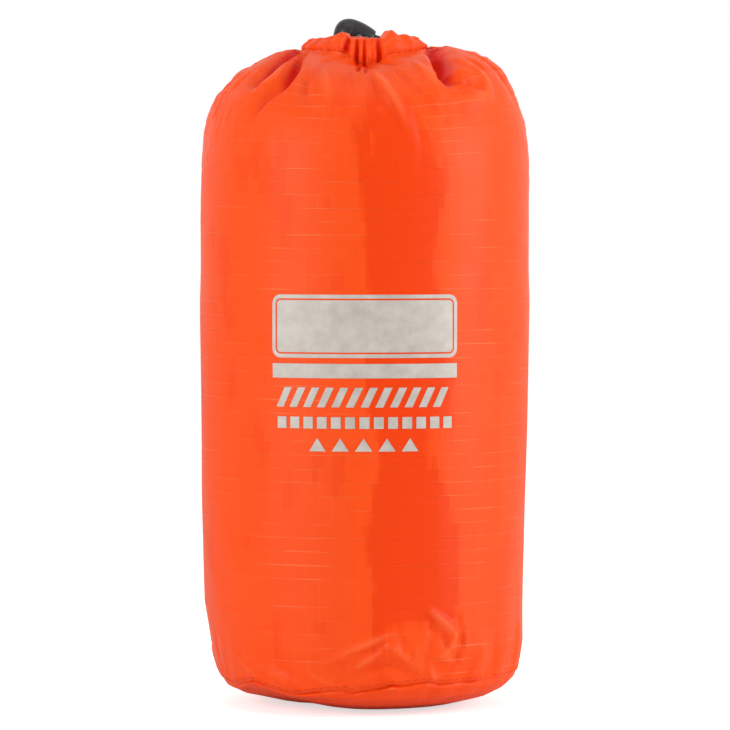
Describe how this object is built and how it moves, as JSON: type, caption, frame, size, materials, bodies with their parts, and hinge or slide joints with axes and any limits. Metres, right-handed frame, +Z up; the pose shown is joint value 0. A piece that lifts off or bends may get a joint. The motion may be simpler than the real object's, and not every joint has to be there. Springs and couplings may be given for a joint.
{
  "type": "survival shelter",
  "caption": "Group survival shelter rolled up in its round stuff sack, with a gathered drawcord mouth, a sliding cord lock with a press button, and a flat sewn base.",
  "frame": {"origin": "centre of the sack's round base, on the surface it stands on", "axes": "+Z up along the sack, -Y is the printed front, +X to the right seen from the front"},
  "size_m": [0.124, 0.1326, 0.2579],
  "materials": {
    "sack_cloth": "coated ripstop, satin",
    "canopy_cloth": "thin ripstop",
    "seat_cloth": "coated, matt",
    "window_film": "clear soft film",
    "reflective_tape": "silver reflective",
    "drawcord": "braided polyester",
    "lock_plastic": "moulded acetal, matt",
    "spring_steel": "bright wire"
  },
  "bodies": {
    "sack": {"sack_side_panel": "sack_cloth", "sack_base_panel": "sack_cloth", "canopy_front_cloth": "canopy_cloth", "canopy_back_cloth": "canopy_cloth", "vent_sleeve_left": "canopy_cloth", "vent_sleeve_right": "canopy_cloth", "seat_panel_front": "seat_cloth", "seat_panel_back": "seat_cloth", "window_front": "window_film", "window_back": "window_film", "reflective_tape_front_left": "reflective_tape", "reflective_tape_front_right": "reflective_tape", "reflective_tape_back_left": "reflective_tape", "reflective_tape_back_right": "reflective_tape", "drawcord_loop": "drawcord", "drawcord_tail_left": "drawcord", "drawcord_tail_right": "drawcord", "drawcord_knot": "drawcord"},
    "cord_lock": {"cord_lock_barrel": "lock_plastic", "cord_lock_spring": "spring_steel"},
    "cord_lock_button": {"cord_lock_plunger": "lock_plastic"}
  },
  "joints": [
    {"name": "lock_slide", "type": "slide", "parent": "sack", "child": "cord_lock", "axis": [0, 1, 0], "range_m": [0, 0.012]},
    {"name": "lock_button", "type": "slide", "parent": "cord_lock", "child": "cord_lock_button", "axis": [-0.9563, 0, 0.2924], "range_m": [0, 0.003], "stiffness_N_per_m": 400, "springref_m": -0.002, "deforming": ["cord_lock_spring"]}
  ]
}
